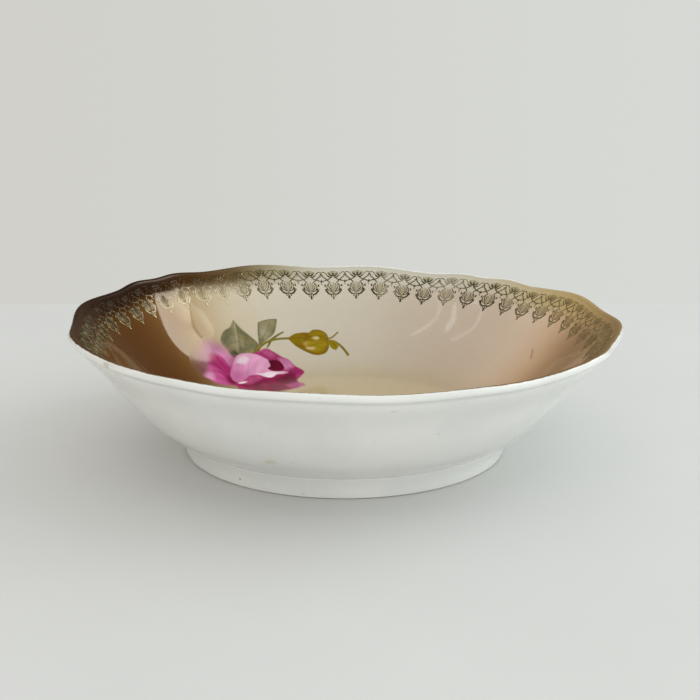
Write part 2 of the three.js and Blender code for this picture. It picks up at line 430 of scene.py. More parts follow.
def border_tree(laying, press):
    """Repeats a flat motif along a strip and drapes the strip over the side."""
    build, (motif, lining, count, first, pitch, material), result = geometry_group(
        "repeat_motif", Motif="Geometry", Lining="Object", Count="Int", First="Float",
        Pitch="Float", Material="Material",
    )
    line = build.put(
        build.add("GeometryNodeMeshLine", mode="OFFSET"), Count=count,
        Start_Location=build.combine(first, 0.0, 0.0), Offset=build.combine(pitch, 0.0, 0.0),
    )
    copies = build.add("GeometryNodeInstanceOnPoints")
    build.put(copies, Points=line.outputs[0], Instance=motif)
    real = build.add("GeometryNodeRealizeInstances")
    build.join(copies.outputs[0], real.inputs[0])
    laid = use_group(build, laying, real.outputs[0], lining)
    finish_tree(build, use_group(build, press, laid), material, result)
    return build.tree


def grown(name, mesh, tree, values):
    """Runs a tree on a mesh and returns a plain mesh object with the result."""
    source = bpy.data.objects.new(name + "_source", mesh)
    bpy.context.scene.collection.objects.link(source)
    modifier = source.modifiers.new("build", "NODES")
    modifier.node_group = tree
    inputs = [item for item in tree.interface.items_tree if item.in_out == "INPUT"]
    sockets = {item.name: item.identifier for item in inputs}
    for label, value in values.items():
        modifier[sockets[label]] = value
    graph = bpy.context.evaluated_depsgraph_get()
    made = bpy.data.meshes.new_from_object(
        source.evaluated_get(graph), preserve_all_data_layers=True, depsgraph=graph,
    )
    made.name = name
    source.modifiers.clear()
    bpy.data.objects.remove(source)
    if signed_volume(made) < 0:
        made.flip_normals()
    piece = bpy.data.objects.new(name, made)
    bpy.context.scene.collection.objects.link(piece)
    return piece


def signed_volume(mesh):
    mesh.calc_loop_triangles()
    points = np.empty(len(mesh.vertices) * 3)
    mesh.vertices.foreach_get("co", points)
    points = points.reshape(-1, 3)
    corners = np.empty(len(mesh.loop_triangles) * 3, int)
    mesh.loop_triangles.foreach_get("vertices", corners)
    a, b, c = (points[corners[i::3]] for i in range(3))
    return float(np.einsum("ij,ij->i", a, np.cross(b, c)).sum() / 6)


def outline_mesh(name, outline, along=None):
    """An outline as a chain of points at (radius, 0, height)."""
    mesh = bpy.data.meshes.new(name)
    points = [(r, 0, z) for r, z in outline]
    mesh.from_pydata(points, [(i, i + 1) for i in range(len(points) - 1)], [])
    if along is not None:
        store_value(mesh, "along", along)
    return mesh


def store_value(mesh, name, values):
    mesh.attributes.new(name, "FLOAT", "POINT").data.foreach_set("value", np.array(values, "f"))


# ---------------------------------------------------------------- colours and materials


def paint(red, green, blue):
    """A colour as a painter would read it off a chart, 0 to 255, as linear light."""
    share = np.array([red, green, blue]) / 255
    light = np.where(share <= 0.04045, share / 12.92, ((share + 0.055) / 1.055) ** 2.4)
    return (*light, 1.0)


def mix(build, factor, low, high, blend="MIX"):
    node = build.add("ShaderNodeMix", data_type="RGBA", blend_type=blend)
    build.join(factor, node.inputs[0])
    build.join(low, node.inputs[6])
    build.join(high, node.inputs[7])
    return node.outputs[2]


def noise(build, vector, scale, detail=3.0, roughness=0.55):
    node = build.add("ShaderNodeTexNoise")
    build.join(vector, node.inputs["Vector"])
    for label, value in (("Scale", scale), ("Detail", detail), ("Roughness", roughness)):
        build.join(value, node.inputs[label])
    return node.outputs[0]


def ramp(build, value, stops):
    """A colour for each value from 0 to 1, blended between the stops."""
    node = build.add("ShaderNodeValToRGB")
    build.join(value, node.inputs[0])
    band = node.color_ramp
    band.interpolation = "B_SPLINE" if len(stops) > 4 else "LINEAR"
    while len(band.elements) < len(stops):
        band.elements.new(0.5)
    for element, (at, colour) in zip(band.elements, sorted(stops)):
        element.position = at
        element.color = colour
    return node.outputs[0]


def spot(build, coordinates, centre, size, softness=0.6):
    """1 inside a soft round mark on the surface and 0 outside it."""
    away = build.add("ShaderNodeVectorMath", operation="DISTANCE")
    build.join(coordinates, away.inputs[0])
    build.join(centre, away.inputs[1])
    return build.fade(away.outputs["Value"], size * softness, size, 1.0, 0.0)


def new_material(name):
    material = bpy.data.materials.new(name)
    material.use_nodes = True
    build = Tree(material.node_tree)
    shader = next(n for n in material.node_tree.nodes if n.type == "BSDF_PRINCIPLED")
    coordinates = build.add("ShaderNodeTexCoord").outputs["Object"]
    return material, build, shader, coordinates


def set_bump(build, shader, height, strength, distance):
    bump = build.add("ShaderNodeBump")
    build.put(bump, Height=height, Strength=strength, Distance=distance)
    build.join(bump.outputs[0], shader.inputs["Normal"])


GLAZE_WHITE = paint(234, 235, 230)

# Marks on the glaze: place, size, colour and strength.
GLAZE_MARKS = [
    ((-0.0296, -0.0892, 0.0218), 3.2 * MM, (208, 192, 160), 0.4),
    ((-0.0318, -0.0880, 0.0206), 2.0 * MM, (202, 186, 150), 0.4),
    ((-0.0451, -0.0612, 0.0039), 0.7 * MM, (104, 96, 84), 0.7),
    ((-0.0965, -0.0793, 0.0598), 4.0 * MM, (196, 176, 142), 0.55),
]


def glaze_colour(build, coordinates):
    """The glazed white: faint clouds, a stain by the seam and a few specks."""
    clouds = build.fade(noise(build, coordinates, 26.0), 0.35, 0.65)
    colour = mix(build, clouds, paint(231, 232, 228), paint(237, 237, 232))
    grime = build.fade(noise(build, coordinates, 310.0, 2.0), 0.66, 0.8, 0.0, 0.35)
    colour = mix(build, grime, colour, paint(200, 194, 180))
    for centre, size, shade, strength in GLAZE_MARKS:
        mark = build.times(spot(build, coordinates, centre, size, 0.3), strength)
        colour = mix(build, mark, colour, paint(*shade))
    return colour


def porcelain_glaze():
    material, build, shader, coordinates = new_material("porcelain_glaze")
    build.join(glaze_colour(build, coordinates), shader.inputs["Base Color"])
    wear = build.fade(noise(build, coordinates, 60.0), 0.4, 0.7, 0.10, 0.17)
    build.join(wear, shader.inputs["Roughness"])
    set_bump(build, shader, noise(build, coordinates, 45.0, 1.0), 0.10, 0.5 * MM)
    return material


def foot_glaze():
    """The foot's glaze stops short of the face that it stands on, which is bare."""
    material, build, shader, coordinates = new_material("foot_glaze")
    _, _, z = build.split(coordinates)
    ragged = build.times_plus(noise(build, coordinates, 180.0), 0.5 * MM, z)
    bare = build.fade(ragged, 0.55 * MM, 0.8 * MM, 1.0, 0.0)
    grit = noise(build, coordinates, 400.0)
    biscuit = mix(build, grit, paint(206, 200, 186), paint(178, 168, 148))
    colour = mix(build, bare, glaze_colour(build, coordinates), biscuit)
    build.join(colour, shader.inputs["Base Color"])
    build.join(build.times_plus(bare, 0.6, 0.14), shader.inputs["Roughness"])
    grain = build.times(noise(build, coordinates, 1400.0), bare)
    set_bump(build, shader, grain, 0.4, 0.1 * MM)
    return material


# Sprayed colours round the bowl, in degrees from the back towards +X: at the lip and on the side.
# The near-black of the lip at the left is partly painted shade.
LIP_COLOURS = [
    (-180, (132, 98, 58)), (-140, (100, 68, 38)), (-105, (62, 34, 15)), (-80, (40, 17, 5)),
    (-62, (38, 15, 2)), (-48, (54, 28, 4)), (-30, (90, 62, 20)), (-17, (160, 148, 114)),
    (-4, (206, 202, 188)), (32, (202, 197, 181)), (45, (204, 192, 162)), (60, (190, 168, 118)),
    (78, (186, 158, 106)), (96, (150, 122, 82)), (135, (116, 86, 52)), (180, (132, 98, 58)),
]
# The side colours from about 45 to 75 degrees are partly painted light, lightened beyond the
# spray's own colour.
SIDE_COLOURS = [
    (-180, (206, 182, 146)), (-140, (150, 110, 66)), (-105, (84, 50, 22)), (-78, (84, 50, 19)),
    (-64, (98, 62, 26)), (-54, (136, 100, 58)), (-45, (184, 160, 122)), (-33, (208, 196, 172)),
    (-15, (210, 203, 187)), (6, (208, 200, 183)), (26, (204, 190, 172)), (45, (206, 188, 170)),
    (60, (224, 203, 182)), (74, (212, 176, 138)), (90, (118, 80, 42)), (180, (206, 182, 146)),
]


# How far the ground colour laps over the lip, as a share of the roll, round the bowl.
LIP_REACH = [
    (-180, 0.62), (-150, 0.72), (-115, 0.84), (-75, 1.0), (-38, 0.94), (-16, 0.45), (20, 0.22),
    (46, 0.36), (66, 0.82), (90, 0.86), (115, 0.84), (150, 0.78), (180, 0.62),
]
LIP_LAP = 3.4 * MM
STRAY_DASH = np.array((0.0928, 0.0354, 0.0332))  # a slip of the rose's paint
DASH_STEP = 1.3 * MM * np.array((-0.24, -0.79, -0.57))


def stops_round(rows):
    """Colour stops round the bowl, from rows of degrees from the back and a colour."""
    return [((degrees + 180) / 360, colour) for degrees, colour in rows]


def painted(rows):
    return stops_round([(degrees, paint(*colour)) for degrees, colour in rows])


def ground_group():
    """The sprayed ground colours, with painted shade at the left lip and painted light on the right
    side, used by every material that shows them.
    """
    build, _, result = new_group("sprayed_and_painted_light", "ShaderNodeTree", "Color")
    coordinates = build.add("ShaderNodeTexCoord").outputs["Object"]
    x, y, z = build.split(coordinates)
    along = build.stored("along")
    below = build.less(LINING_LENGTH, along)
    drift = build.less(noise(build, coordinates, 14.0), 0.5)
    angle = build.over(build.way_round(x, y), 2 * math.pi)
    turn = build.sum(build.times_plus(drift, 0.022, angle), 0.5)
    lip = ramp(build, turn, painted(LIP_COLOURS))
    side = ramp(build, turn, painted(SIDE_COLOURS))
    low = build.fade(along, 88 * MM, 52 * MM)
    away = build.math("ABSOLUTE", build.less(turn, 0.53))
    low = build.times(low, build.fade(away, 0.13, 0.26, 0.75, 0.0))
    side = mix(build, low, side, paint(202, 186, 154))
    halfway, centre = build.fade(along, 108 * MM, 66 * MM), build.fade(along, 84 * MM, 34 * MM)
    side = mix(build, halfway, side, paint(240, 236, 230), "MULTIPLY")
    side = mix(build, centre, side, paint(190, 172, 140))
    edge = build.times_plus(drift, 9 * MM, below)
    colour = mix(build, build.fade(edge, 5 * MM, 16 * MM), lip, side)
    mottle = build.fade(noise(build, coordinates, 240.0, 4.0, 0.7), 0.3, 0.7, 0.0, 0.16)
    colour = mix(build, mottle, colour, paint(225, 215, 190), "SOFT_LIGHT")
    build.join(colour, result.inputs[0])
    return build.tree


# The ground colours from the group, with its painted shade and painted light.
def sprayed(build, group):
    return build.add("ShaderNodeGroup", node_tree=group).outputs[0]


def ground_colour(group):
    """The sprayed lining. It thins out over the lip, so that the white glaze shows through."""
    material, build, shader, coordinates = new_material("ground_colour")
    x, y, _ = build.split(coordinates)
    along = build.stored("along")
    over = build.less(along, LINING_LENGTH)
    turn = build.sum(build.over(build.way_round(x, y), 2 * math.pi), 0.5)
    reach = ramp(build, turn, stops_round([(d, (v, v, v, 1)) for d, v in LIP_REACH]))
    ragged = build.times_plus(noise(build, coordinates, 260.0, 4.0, 0.7), 0.9 * MM, over)
    ragged = build.times_plus(reach, -LIP_LAP, ragged)
    bare = build.fade(ragged, -0.25 * MM, 0.35 * MM)
    colour = mix(build, bare, sprayed(build, group), GLAZE_WHITE)
    for step in (-2, -1, 0, 1, 2):
        place = tuple(STRAY_DASH + step * DASH_STEP)
        stray = build.times(spot(build, coordinates, place, 1.0 * MM, 0.3), 0.6)
        colour = mix(build, stray, colour, paint(166, 76, 100))
    build.join(colour, shader.inputs["Base Color"])
    polish = build.fade(noise(build, coordinates, 70.0), 0.35, 0.7, 0.045, 0.08)
    handled = build.fade(over, -4 * MM, -0.5 * MM, 0.0, 0.22)
    build.join(build.sum(polish, handled), shader.inputs["Roughness"])
    set_bump(build, shader, noise(build, coordinates, 50.0, 1.0), 0.06, 0.5 * MM)
    return material


def fired_gold(group):
    """Matt gold: rubbed here and there, nearly gone on the dark side and tanned at the right, with
    a painted glint of cream on the lower lace at the left.
    """
    material, build, shader, coordinates = new_material("fired_gold")
    tone = build.stored("tone")
    worn = noise(build, coordinates, 420.0, 3.0, 0.65)
    gold = mix(build, worn, paint(176, 168, 132), paint(132, 126, 92))
    gold = mix(build, build.fade(worn, 0.54, 0.66, 0.0, 0.85), gold, paint(92, 86, 60))
    below = sprayed(build, group)
    wash = mix(build, 0.85, below, paint(208, 204, 180), "MULTIPLY")
    pale = mix(build, 0.35, below, paint(232, 229, 218))
    rubbed = build.fade(noise(build, coordinates, 62.0, 3.0), 0.48, 0.64, 0.0, 0.6)
    gold = mix(build, rubbed, gold, mix(build, 0.5, below, paint(150, 144, 112)))
    fills = mix(build, build.fade(tone, 0.55, 0.95), wash, pale)
    x, y, _ = build.split(coordinates)
    turn = build.times(build.way_round(x, y), 180 / math.pi)
    along = build.stored("along")
    tanned = build.fade(turn, 38.0, 66.0, 0.0, 0.6)
    gold = mix(build, tanned, gold, paint(146, 120, 74))
    lower = build.fade(build.less(LINING_LENGTH, along), 7.5 * MM, 10 * MM)
    thin = build.band(turn, -100.0, -84.0, -40.0, -26.0, 0.92)
    crown = build.times(thin, build.less(1.0, lower))
    gold = mix(build, crown, gold, below)
    # Painted glint: the lower lace at the left is coloured cream and made less metallic, standing
    # in for a window's reflection.
    painted_glint = build.times(build.band(turn, -68.0, -56.0, -34.0, -24.0, 0.8), lower)
    gold = mix(build, painted_glint, gold, paint(224, 210, 178))
    build.join(mix(build, build.fade(tone, 0.1, 0.4), gold, fills), shader.inputs["Base Color"])
    dulled = [build.less(1.0, dull) for dull in (crown, painted_glint, rubbed, tanned)]
    polish = build.fade(worn, 0.5, 0.72, 1.0, 0.5)
    shine = build.times(build.fade(tone, 0.1, 0.4, 0.95, 0.0), polish, *dulled)
    build.join(shine, shader.inputs["Metallic"])
    build.join(build.fade(worn, 0.35, 0.7, 0.24, 0.4), shader.inputs["Roughness"])
    set_bump(build, shader, worn, 0.3, 0.08 * MM)
    return material


def transfer_print(name, group, roughness):
    """A printed and hand-tinted transfer, whose colours fade into the ground at soft edges."""
    material, build, shader, coordinates = new_material(name)
    tint = build.add("ShaderNodeAttribute", attribute_type="GEOMETRY", attribute_name="tint")
    grain = build.fade(noise(build, coordinates, 700.0, 3.0, 0.7), 0.3, 0.7, 0.0, 0.3)
    brushed = mix(build, grain, tint.outputs["Color"], paint(236, 226, 214), "SOFT_LIGHT")
    colour = mix(build, tint.outputs["Alpha"], sprayed(build, group), brushed)
    build.join(colour, shader.inputs["Base Color"])
    build.join(build.fade(grain, 0.0, 0.3, roughness, roughness + 0.08), shader.inputs["Roughness"])
    set_bump(build, shader, noise(build, coordinates, 320.0, 2.0), 0.12, 0.12 * MM)
    return material


# ---------------------------------------------------------------- the porcelain


def turned_piece(name, outline, along, segments, tree, material):
    mesh = outline_mesh(name + "_outline", outline, along)
    values = {"Segments": segments, "Rows": len(outline), "Material": material}
    return grown(name, mesh, tree, values)


def porcelain_shell(tree, material):
    """The pressed body: one outline from axis to axis, over underside, side, lip and inside."""
    step = SEAT_INNER - SEAM_CLEARANCE
    under = np.array([(0, BASE_HEIGHT), (step / 3, BASE_HEIGHT), (step * 0.7, BASE_HEIGHT)])
    foot = np.array([
        (step - BASE_DROP, BASE_HEIGHT), (step, FOOT_HEIGHT),
        (SEAM_RADIUS - SEAM_CHAMFER, FOOT_HEIGHT),
    ])
    side = spline(side_knots(), np.linspace(0, 1, 44))
    side[0] += (0, 0.3 * SEAM_CHAMFER)
    lip = lip_arc(LIP_UNDER, LIP_INNER, 26)
    inside = even(LINING, 34)[::-1]
    outline = np.vstack([under, foot, side, lip, inside[1:]])
    run = distances(outline)
    return turned_piece("porcelain_shell", outline, run, SHELL_SEGMENTS, tree, material)


def foot_ring_glazed(tree, material):
    """The foot ring: a closed outline with a bare flat face between two rounded edges."""
    inner = FOOT_RADIUS - 2 * FOOT_EDGE - FOOT_LAND

    def edge(centre, start, end):
        angle = np.radians(np.linspace(start, end, 8))
        return (centre, FOOT_EDGE) + FOOT_EDGE * np.stack([np.cos(angle), np.sin(angle)], 1)

    outer = spline(
        [
            (FOOT_RADIUS, FOOT_EDGE), (FOOT_RADIUS + 0.38 * FOOT_SPREAD, 0.55 * FOOT_HEIGHT),
            (FOOT_RADIUS + FOOT_SPREAD, FOOT_HEIGHT - SEAT_CHAMFER),
        ],
        np.linspace(0, 1, 14),
    )
    seat = np.array([
        (FOOT_RADIUS + FOOT_SPREAD - SEAT_CHAMFER, FOOT_HEIGHT), (SEAT_INNER, FOOT_HEIGHT),
    ])
    leaning = np.linspace((SEAT_INNER, FOOT_HEIGHT), (inner, FOOT_EDGE), 8)
    outline = np.vstack([
        edge(inner + FOOT_EDGE, 180, 270), edge(FOOT_RADIUS - FOOT_EDGE, 270, 360),
        outer[1:], seat, leaning[1:],
    ])
    run = distances(outline)
    return turned_piece("foot_ring_glazed", outline, run, FOOT_SEGMENTS, tree, material)


def ground_lining(tree, material):
    """The sprayed ground colour: a thin skin over the inside that laps over the lip."""
    lap = lip_arc(LIP_INNER, 40, 22)
    path = np.vstack([even(LINING, 120), lap[1:]])
    run = distances(path)
    thin = np.interp(run, [run[-1] - 1.2 * MM, run[-1]], [1, 0.15])
    over = raised(path, GROUND_TOP * thin)
    under = raised(path, 0.02 * MM * thin)
    outline = np.vstack([under[::3], under[-1:], over[::-1]])
    along = np.r_[run[::3], run[-1:], run[::-1]]
    return turned_piece("ground_lining", outline, along, LINING_SEGMENTS, tree, material)


# ---------------------------------------------------------------- the lace border


def ribbon(points, width, taper=0.35, tone=0.0, steps=None):
    """A raised line of the border as (vertices, faces, tone), drawn through points in millimetres.
    The first number of a point is the way across and the second the way down from the lip."""
    count = steps or max(3, 3 * (len(points) - 1))
    line = spline(points, np.linspace(0, 1, count + 1))
    ahead = np.gradient(line, axis=0)
    ahead /= np.maximum(np.hypot(ahead[:, 0], ahead[:, 1]), 1e-9)[:, None]
    side = np.stack([-ahead[:, 1], ahead[:, 0]], 1)
    share = np.linspace(0, 1, len(line))
    half = width / 2 * (taper + (1 - taper) * np.sin(np.pi * share) ** 0.6)
    rise = np.full(len(line), LACE_RELIEF / MM)
    section = [(-1, 0.0), (-0.55, 0.8), (0.0, 1.0), (0.55, 0.8), (1, 0.0)]
    rows = [np.c_[line + side * (half * out)[:, None], rise * up] for out, up in section]
    vertices = np.stack(rows, 1).reshape(-1, 3)
    size, last = len(section), len(line) - 1
    faces = [tuple(range(size))[::-1], tuple(last * size + j for j in range(size))]
    for a in range(0, last * size, size):
        faces += [
            (a + j, a + (j + 1) % size, a + size + (j + 1) % size, a + size + j)
            for j in range(size)
        ]
    return vertices, faces, tone


def bead(across, down, width, height):
    """A small raised blob."""
    return ribbon([(across, down + height * share) for share in (-0.5, 0, 0.5)], width, 0.3)


def lace_strokes():
    """One repeat of the border: a leafy crown, a trellis, a lotus, two curls and a hanging drop."""
    half = math.radians(360 / (STRIPS * PENDANTS)) / 2 * LACE_RADIUS / MM
    strokes = [
        ribbon([(-2.9, 3.5), (-1.2, 2.9), (1.2, 2.9), (2.9, 3.5)], 2.2, 0.5, tone=0.5, steps=6),
        ribbon([(0, 9.8), (0, 12.2), (0, 16.2)], 4.6, 0.3, tone=0.5, steps=6),
        ribbon([(0, 5.4), (0.1, 3.6), (0, 2.0)], 1.5, 0.4),
        ribbon([(0, 9.6), (0, 13), (0, 16.8), (0, 18.9)], 0.75, 0.7),
        bead(0, 19.2, 1.7, 2.4),
        bead(half, 8.9, 1.5, 1.7),
        bead(half, 10.6, 0.8, 0.8),
        ribbon([(-1.3, 11.2), (-0.75, 10.3), (-0.3, 11.4)], 0.9, 0.4, tone=1.0),
    ]
    for side in (1, -1):
        for width, taper, points in (
            (1.3, 0.3, [(0.2, 5.2), (1.5, 4.6), (2.8, 2.7)]),
            (1.0, 0.3, [(0.3, 5.8), (2.0, 5.9), (3.6, 4.4)]),
            (0.55, 0.5, [(3.3, 4.3), (4.6, 3.0), (5.6, 2.5), (half, 2.9)]),
            (0.8, 0.5, [(0.6, 5.8), (2.6, 7.4), (4.6, 8.2), (half - 0.3, 8.8)]),
            (0.8, 0.5, [(half - 0.2, 5.2), (5.0, 6.2), (3.2, 8.2), (1.6, 9.8)]),
            (0.85, 0.4, [(half, 3.2), (half - 0.2, 4.2), (half - 0.9, 5.0)]),
            (0.5, 0.5, [(0.1, 15.4), (0.9, 13.4), (1.5, 11.6), (1.3, 10.0)]),
            (0.7, 0.5, [(0.3, 15.6), (1.7, 14.2), (2.6, 12.6), (2.5, 10.7)]),
            (0.75, 0.5, [(0.4, 15.9), (2.6, 14.8), (3.7, 13.0), (3.3, 11.0), (2.2, 9.9)]),
            (1.3, 0.45, [(0.2, 16.9), (2.0, 17.1), (3.4, 16.0), (4.0, 14.2), (3.2, 13.3)]),
            (0.7, 0.4, [(3.8, 15.8), (4.6, 14.8), (4.7, 13.6)]),
        ):
            line = [(side * across, down) for across, down in points]
            strokes.append(ribbon(line, width, taper))
        strokes.append(bead(side * (half - 1.9), 11.5, 1.25, 1.5))
        strokes.append(bead(side * 1.25, 18.1, 1.0, 1.1))
    return strokes


def lace_motif():
    """The strokes as one flat mesh, lying on the side at the border's height."""
    vertices, faces, tones = [], [], []
    for points, quads, tone in lace_strokes():
        base = len(vertices)
        across = points[:, 0] * MM * FLAT_RADIUS / LACE_RADIUS
        up = LINING_LENGTH - points[:, 1] * MM
        vertices += list(zip(across, up, points[:, 2] * MM + LACE_UNDER))
        faces += [tuple(base + corner for corner in face) for face in quads]
        tones += [tone] * len(points)
    mesh = bpy.data.meshes.new("lace_motif")
    mesh.from_pydata(vertices, [], faces)
    store_value(mesh, "tone", tones)
    return mesh


def lace_border(index, motif, tree, lining, material):
    pitch = 2 * math.pi / (STRIPS * PENDANTS) * FLAT_RADIUS
    values = {
        "Lining": lining, "Count": PENDANTS, "First": (index * PENDANTS + 0.5) * pitch,
        "Pitch": pitch, "Material": material,
    }
    return grown(f"lace_border_{index + 1}", motif.copy(), tree, values)


# ---------------------------------------------------------------- the rose spray

# The spray is drawn in degrees from the back and millimetres above this distance from the axis.
SPRAY_LINE = 91.4 * MM
LOWER_STRETCH = 1.073  # the transfer stretched a little where it turns down into the well
DEGREE_WIDTH = math.radians(1) * 104  # millimetres along the side for one degree


def value_noise(x, y, seed):
    """Smooth random values from 0 to 1 over a plane."""
    lattice = np.random.default_rng(seed).random((64, 64))
    i, j = np.floor(x).astype(int), np.floor(y).astype(int)
    u, v = x - i, y - j
    u, v = u * u * (3 - 2 * u), v * v * (3 - 2 * v)
    corner = [[lattice[(i + a) % 64, (j + b) % 64] for b in (0, 1)] for a in (0, 1)]
    near = corner[0][0] * (1 - v) + corner[0][1] * v
    return near * (1 - u) + (corner[1][0] * (1 - v) + corner[1][1] * v) * u


class Canvas:
    """Points of the spray with the colours painted on them so far. What is laid on while group is
    the wanted one also marks the points that belong to that piece."""

    def __init__(self, degrees, rise, wanted):
        self.at = np.stack([degrees * DEGREE_WIDTH, rise], 1)
        self.colour = np.zeros((len(degrees), 3))
        self.cover = np.zeros(len(degrees))
        self.own = np.zeros(len(degrees))
        self.wanted = wanted
        self.group = None

    def flat(self, points):
        """Points given in degrees and millimetres, in millimetres both ways."""
        return np.array(points, float) * (DEGREE_WIDTH, 1)

    def distance(self, points, closed):
        """Distance in millimetres to a smooth line through the points, and the share of the way
        along it. Inside a closed line the distance is below 0."""
        knots = self.flat(points)
        loop = np.vstack([knots, knots[:1]]) if closed else knots
        count = 5 * (len(loop) - 1)
        line = spline(loop, np.linspace(0, 1, count + 1))
        if closed:
            line[-1] = line[0]
        at = self.at
        best = np.full(len(at), 1e9)
        share = np.zeros(len(at))
        inside = np.zeros(len(at), bool)
        for k in range(count):
            a, b = line[k], line[k + 1]
            step = b - a
            t = np.clip(((at - a) @ step) / max(step @ step, 1e-12), 0, 1)
            away = np.hypot(*(at - a - t[:, None] * step).T)
            nearer = away < best
            best[nearer] = away[nearer]
            share[nearer] = (k + t[nearer]) / count
            crosses = (a[1] > at[:, 1]) != (b[1] > at[:, 1])
            if a[1] != b[1]:
                inside ^= crosses & (at[:, 0] < step[0] * (at[:, 1] - a[1]) / (b[1] - a[1]) + a[0])
        return (np.where(inside, -best, best) if closed else best), share

    def lay(self, mask, tone):
        """Lays a colour over what is there, where the mask is above 0."""
        total = mask + self.cover * (1 - mask)
        weight = (mask / np.maximum(total, 1e-6))[:, None]
        self.colour = self.colour * (1 - weight) + tone * weight
        self.cover = total
        if self.group == self.wanted:
            self.own = np.maximum(self.own, mask)

    def petal(self, points, colour, feather=0.6, strength=1.0, tip=None, towards=None):
        """A soft-edged closed shape, in one colour or shaded towards a second colour."""
        away, _ = self.distance(points, True)
        mask = strength * np.clip(0.5 - away / (2 * feather), 0, 1)
        mask = mask * mask * (3 - 2 * mask) if strength == 1 else mask
        tone = np.array(paint(*colour)[:3])
        if tip is not None:
            start, end = self.flat(towards)
            run = end - start
            share = np.clip((self.at - start) @ run / (run @ run), 0, 1)[:, None]
            tone = tone * (1 - share) + np.array(paint(*tip)[:3]) * share
        self.lay(mask, tone)

    def stroke(self, points, colour, width, feather=0.3, strength=1.0, end_width=None):
        """A brush line that may change its width along its length."""
        away, share = self.distance(points, False)
        half = (width + ((end_width or width) - width) * share) / 2
        mask = strength * np.clip(0.5 - (away - half) / (2 * feather), 0, 1)
        self.lay(mask, np.array(paint(*colour)[:3]))

    def hatch(self, centre, low, high, seed, rays=26.0):
        """Fine brush marks that run out from a point: darkens and lightens what is painted."""
        dx, dy = (self.at - self.flat([centre])).T
        turn = np.arctan2(dy, dx) * rays / math.pi + 40
        ray = value_noise(turn, np.hypot(dx, dy) * 0.09 + 3, seed)
        self.colour = self.colour * (low + (high - low) * ray)[:, None]


def paint_spray(canvas):
    """Paints the whole spray, from the lowest layer up."""
    leaf_long(canvas)
    leaf_short(canvas)
    stems(canvas)
    back_petals(canvas)
    bloom_base(canvas)
    middle_petal(canvas)
    bud(canvas)
    tendril(canvas)


def leaf_long(c):
    c.group = "leaf_long"
    c.petal([
        (-35.4, 21), (-34.6, 17.5), (-33.4, 14), (-31.7, 10.5), (-29.9, 6), (-29.8, 2.4),
        (-31.6, -1), (-36, -1.6), (-38.7, -1.4), (-40, -1.5), (-41.4, 0), (-41.7, 4), (-42.6, 8),
        (-42.3, 11), (-41.2, 13.6), (-39.6, 15.8), (-37.6, 17), (-36.4, 19),
    ], (124, 114, 78), 0.55)
    c.petal([
        (-42.4, 10.5), (-40.8, 13.6), (-38.6, 15.6), (-39.4, 12), (-40.8, 8),
    ], (96, 102, 70), 1.2, 0.75)
    c.petal([(-35.4, 20), (-33.4, 14), (-31.4, 9), (-33.2, 10), (-35, 13)], (92, 98, 64), 1.0, 0.65)
    c.petal([(-40, 9), (-36.6, 12), (-34.4, 8), (-36, 4), (-39, 4)], (150, 140, 108), 2.0, 0.7)
    c.petal([(-34.4, 7), (-31.8, 8), (-30.4, 4), (-32, 1.2), (-35, 3)], (106, 106, 72), 1.6, 0.7)
    for start, bend, end in (
        ((-36.2, 12), (-34.4, 9.6), (-32.6, 8.6)),
        ((-36.8, 9), (-34.6, 6.2), (-32, 4.8)),
        ((-37.6, 6.4), (-36, 3.6), (-33.6, 1.6)),
        ((-36.2, 12.6), (-38.6, 12.4), (-40.6, 10.8)),
        ((-37.2, 8.4), (-39.6, 8.0), (-41.6, 6.4)),
    ):
        c.stroke([start, bend, end], (84, 90, 56), 0.4, 0.35, 0.6)
    c.stroke([(-35.4, 19), (-36.4, 11), (-38, 4), (-39.8, 0.5)], (168, 164, 134), 0.5, 0.4, 0.8)
    c.petal([
        (-41.6, 3), (-39.6, 3.4), (-38.4, 1), (-39.4, -1.2), (-41.2, -0.8),
    ], (58, 72, 22), 0.9, 0.9)
    c.hatch((-38, -6), 0.76, 1.14, 3)


def leaf_short(c):
    c.group = "leaf_short"
    c.petal([
        (-27.5, 17.6), (-24.4, 18.6), (-21.3, 18.5), (-21.9, 15.5), (-23, 10.8), (-25.4, 7.6),
        (-28, 5.4), (-29.7, 3.6), (-29.2, 8), (-28.5, 13),
    ], (146, 136, 102), 0.5)
    c.stroke([(-27.6, 17.4), (-24.4, 18.3), (-21.6, 18.2)], (98, 100, 70), 0.5, 0.4, 0.7)
    c.stroke([(-21.6, 17.6), (-22.4, 13.6), (-24.4, 9.4)], (92, 94, 64), 0.6, 0.5, 0.7)
    c.stroke([(-27.6, 16.6), (-28.6, 11), (-29.2, 5)], (84, 92, 52), 0.7, 0.5, 0.75)
    c.petal([(-27.8, 14), (-25.6, 15), (-25.4, 11), (-27.6, 8)], (156, 154, 128), 1.2, 0.6)
    c.petal([(-29.2, 8), (-27.4, 9), (-27.4, 6), (-29.4, 4)], (86, 90, 46), 0.9, 0.7)
    c.stroke([(-23.4, 17.6), (-25.6, 12), (-28.4, 6.6)], (100, 102, 70), 0.35, 0.3, 0.6)


def stems(c):
    c.group = "stem"
    c.stroke([(-25.2, 6.4), (-26.2, 4), (-27.2, 2.6)], (104, 92, 14), 1.5, 0.35, 1.0, 0.8)
    c.stroke([
        (-33, -0.6), (-30.6, 2.2), (-27.8, 4.9), (-24.6, 6.6),
    ], (112, 96, 14), 1.8, 0.35, 1.0, 1.2)
    c.stroke([(-24.9, 6.4), (-22.2, 6.8), (-18.8, 6.7)], (126, 112, 18), 1.2, 0.3, 1.0, 1.3)
    c.stroke([(-25, 6.5), (-22.6, 8.8), (-20.2, 10.6)], (112, 100, 16), 1.5, 0.3, 1.0, 0.8)
    c.stroke([(-31, 2.4), (-27.6, 5.4), (-24, 7)], (164, 146, 72), 0.4, 0.3, 0.6)


